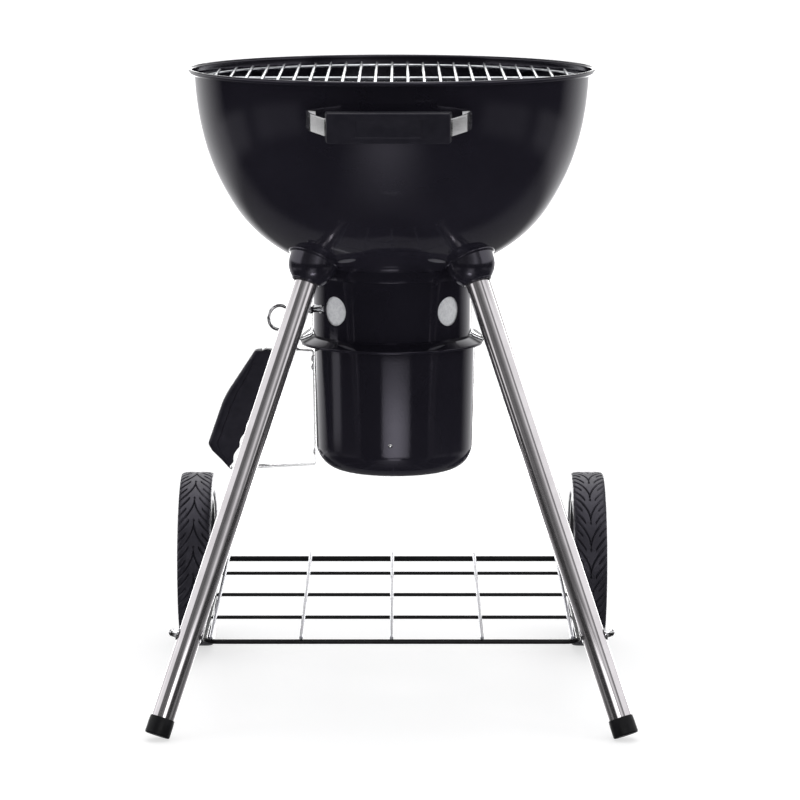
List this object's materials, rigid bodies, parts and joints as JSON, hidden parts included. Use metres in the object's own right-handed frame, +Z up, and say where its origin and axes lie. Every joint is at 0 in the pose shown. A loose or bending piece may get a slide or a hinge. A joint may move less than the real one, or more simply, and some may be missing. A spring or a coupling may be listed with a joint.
{
  "type": "kettle charcoal grill",
  "caption": "Kettle charcoal grill without its lid: enamelled bowl with cooking grate and front handle, vent housing, removable ash bucket, tube legs, wheels and wire shelf.",
  "frame": {"origin": "on the floor, under the middle of the footprint", "axes": "+Z up; the handle side, the front, faces -Y; +X is to the right seen from the front"},
  "size_m": [0.6688, 0.7324, 0.8885],
  "materials": {
    "enamel": "high-gloss black porcelain enamel",
    "chrome_tube": "bright plated tube",
    "foot_rubber": "smooth moulded rubber",
    "strap_steel": "bright stainless strip",
    "grip_plastic": "fine-textured moulded plastic",
    "black_wire": "satin black coating",
    "zinc_wire": "plated wire",
    "sleeve_metal": "aluminised sheet",
    "fastener": "bright plated",
    "grate_rod": "plated rod",
    "tyre_rubber": "matt moulded tread",
    "wheel_plastic": "moulded plastic"
  },
  "bodies": {
    "stand": {"bowl": "enamel", "grate_brackets": "fastener", "coal_grate_brackets": "fastener", "socket_front_left": "enamel", "socket_front_right": "enamel", "socket_rear_left": "enamel", "socket_rear_right": "enamel", "socket_bolts": "fastener", "leg_front_left": "chrome_tube", "leg_front_right": "chrome_tube", "leg_rear_left": "chrome_tube", "leg_rear_right": "chrome_tube", "foot_cap_left": "foot_rubber", "foot_cap_right": "foot_rubber", "rear_leg_plugs": "grip_plastic", "handle_strap": "strap_steel", "handle_grip": "grip_plastic", "handle_rivets": "fastener", "vent_housing": "enamel", "housing_collar": "enamel", "housing_flange": "enamel", "retaining_clips": "strap_steel", "shelf_frame": "black_wire", "shelf_cross_wires": "black_wire", "shelf_long_wires": "zinc_wire", "shelf_studs": "fastener", "dome_nuts": "fastener", "axle": "black_wire", "axle_spacers": "fastener", "axle_caps": "fastener"},
    "left_wheel": {"tyre_left": "tyre_rubber", "wheel_left": "wheel_plastic"},
    "right_wheel": {"tyre_right": "tyre_rubber", "wheel_right": "wheel_plastic"},
    "vent_damper": {"damper_sleeve": "sleeve_metal", "damper_lever": "fastener", "lever_fittings": "fastener"},
    "ash_catcher": {"ash_bucket": "enamel", "bucket_strap": "strap_steel", "bucket_grip": "grip_plastic", "bucket_rivets": "fastener"},
    "cooking_grate": {"cooking_grate_ring": "grate_rod", "cooking_grate_rods": "grate_rod"},
    "charcoal_grate": {"charcoal_grate_rings": "grate_rod", "charcoal_grate_rods": "grate_rod"}
  },
  "joints": [
    {"name": "left_wheel_spin", "type": "hinge", "parent": "stand", "child": "left_wheel", "pos_m": [-0.293, 0.2352, 0.131], "axis": [1, 0, 0], "continuous": true},
    {"name": "right_wheel_spin", "type": "hinge", "parent": "stand", "child": "right_wheel", "pos_m": [0.293, 0.2352, 0.131], "axis": [1, 0, 0], "continuous": true},
    {"name": "damper_turn", "type": "hinge", "parent": "stand", "child": "vent_damper", "pos_m": [0, -0.0318, 0.554], "axis": [0, 0, 1], "range_deg": [-40, 0]},
    {"name": "ash_bucket_release", "type": "slide", "parent": "stand", "child": "ash_catcher", "axis": [0, 0, -1], "range_m": [0, 0.15]},
    {"name": "cooking_grate_lift", "type": "slide", "parent": "stand", "child": "cooking_grate", "axis": [0, 0, 1], "range_m": [0, 0.15]},
    {"name": "charcoal_grate_lift", "type": "slide", "parent": "stand", "child": "charcoal_grate", "axis": [0, 0, 1], "range_m": [0, 0.14]}
  ]
}
